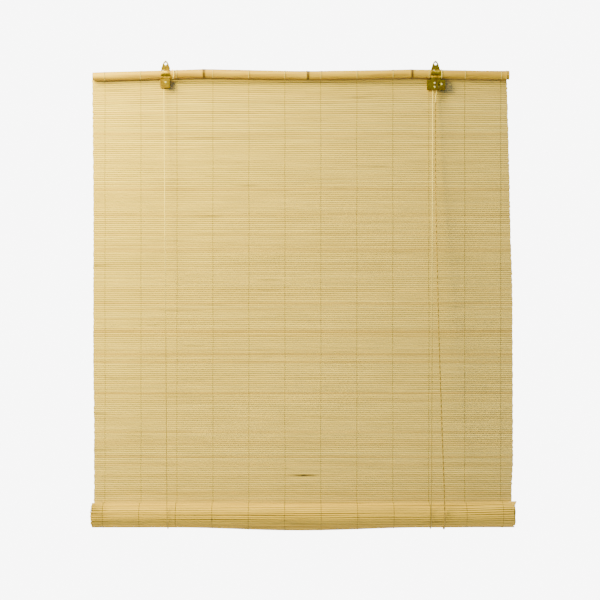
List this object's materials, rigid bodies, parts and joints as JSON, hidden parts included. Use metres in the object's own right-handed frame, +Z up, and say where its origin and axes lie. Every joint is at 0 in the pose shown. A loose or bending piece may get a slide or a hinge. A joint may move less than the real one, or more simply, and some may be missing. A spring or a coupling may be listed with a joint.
{
  "type": "bamboo roll up blind",
  "caption": "Hanging blind of split bamboo sticks on a cane, partly rolled up from below, with two brass hangers, pulleys, lift cords and a cord lock.",
  "frame": {"origin": "midway between the two hanging eyelets, on the line through their centres", "axes": "+X along the head pole to the right seen from the room, -Y towards the room, +Z up"},
  "size_m": [0.908, 0.0698, 1.0074],
  "materials": {
    "cane": "thin bamboo cane, natural, satin",
    "split_bamboo": "split bamboo sticks, natural, matt",
    "rod_wood": "planed wood",
    "cotton": "thin cotton thread",
    "cord": "braided cord, off-white",
    "brass": "brass plated stamped steel",
    "nickel": "nickel plated",
    "pulley_brass": "turned brass"
  },
  "bodies": {
    "head": {"head_pole": "cane", "reed_mat": "split_bamboo", "warp_threads": "cotton", "warp_ties": "cotton", "left_hanger_front": "brass", "left_hanger_back": "brass", "lock_front_plate": "brass", "lock_back_plate": "brass", "left_eyelet": "nickel", "right_eyelet": "nickel", "left_fixing_pin": "nickel", "right_fixing_pin": "nickel", "left_pulley_axle": "nickel", "lock_pulley_axle": "nickel", "lock_anvil": "nickel", "lock_spacer_rivet": "nickel", "left_cord_front": "cord", "left_cord_back": "cord", "left_cord_cross": "cord", "left_cord_tie": "cord", "right_cord_front": "cord", "right_cord_back": "cord", "right_cord_head": "cord", "right_cord_tie": "cord", "pull_cord_front": "cord"},
    "lift": {"left_cord_sling": "cord", "right_cord_sling": "cord", "pull_cord_tail": "cord", "pull_cord_coil": "cord", "coil_tie": "cord"},
    "roll": {"rolled_mat": "split_bamboo", "bottom_rod": "rod_wood", "roll_warp_threads": "cotton"},
    "left_wheel": {"left_pulley": "pulley_brass"},
    "lock_front_wheel": {"lock_front_pulley": "pulley_brass"},
    "lock_back_wheel": {"lock_back_pulley": "pulley_brass"},
    "lock_pinch": {"lock_roller": "pulley_brass"}
  },
  "joints": [
    {"name": "roll_lift", "type": "slide", "parent": "head", "child": "lift", "axis": [0, 0, 1], "range_m": [0, 0.8], "deforming": ["reed_mat", "warp_threads", "left_cord_front", "right_cord_front", "left_cord_back", "right_cord_back", "pull_cord_front"]},
    {"name": "roll_turn", "type": "hinge", "parent": "lift", "child": "roll", "pos_m": [0, -0.0183, -0.9692], "axis": [1, 0, 0], "continuous": true},
    {"name": "left_pulley_spin", "type": "hinge", "parent": "head", "child": "left_wheel", "pos_m": [-0.2901, 0, -0.04], "axis": [0, 1, 0], "continuous": true},
    {"name": "lock_front_pulley_spin", "type": "hinge", "parent": "head", "child": "lock_front_wheel", "pos_m": [0.2887, 0, -0.0415], "axis": [0, 1, 0], "continuous": true},
    {"name": "lock_back_pulley_spin", "type": "hinge", "parent": "head", "child": "lock_back_wheel", "pos_m": [0.2887, 0, -0.0415], "axis": [0, 1, 0], "continuous": true},
    {"name": "lock_roller_slide", "type": "slide", "parent": "head", "child": "lock_pinch", "axis": [0.1293, 0, 0.9916], "range_m": [0, 0.006]}
  ],
  "couplings": [
    {"joint": "roll_turn", "follows": "roll_lift", "rad_per_m": -36.364},
    {"joint": "left_pulley_spin", "follows": "roll_lift", "rad_per_m": 476.19},
    {"joint": "lock_front_pulley_spin", "follows": "roll_lift", "rad_per_m": 476.19},
    {"joint": "lock_back_pulley_spin", "follows": "roll_lift", "rad_per_m": 476.19}
  ]
}
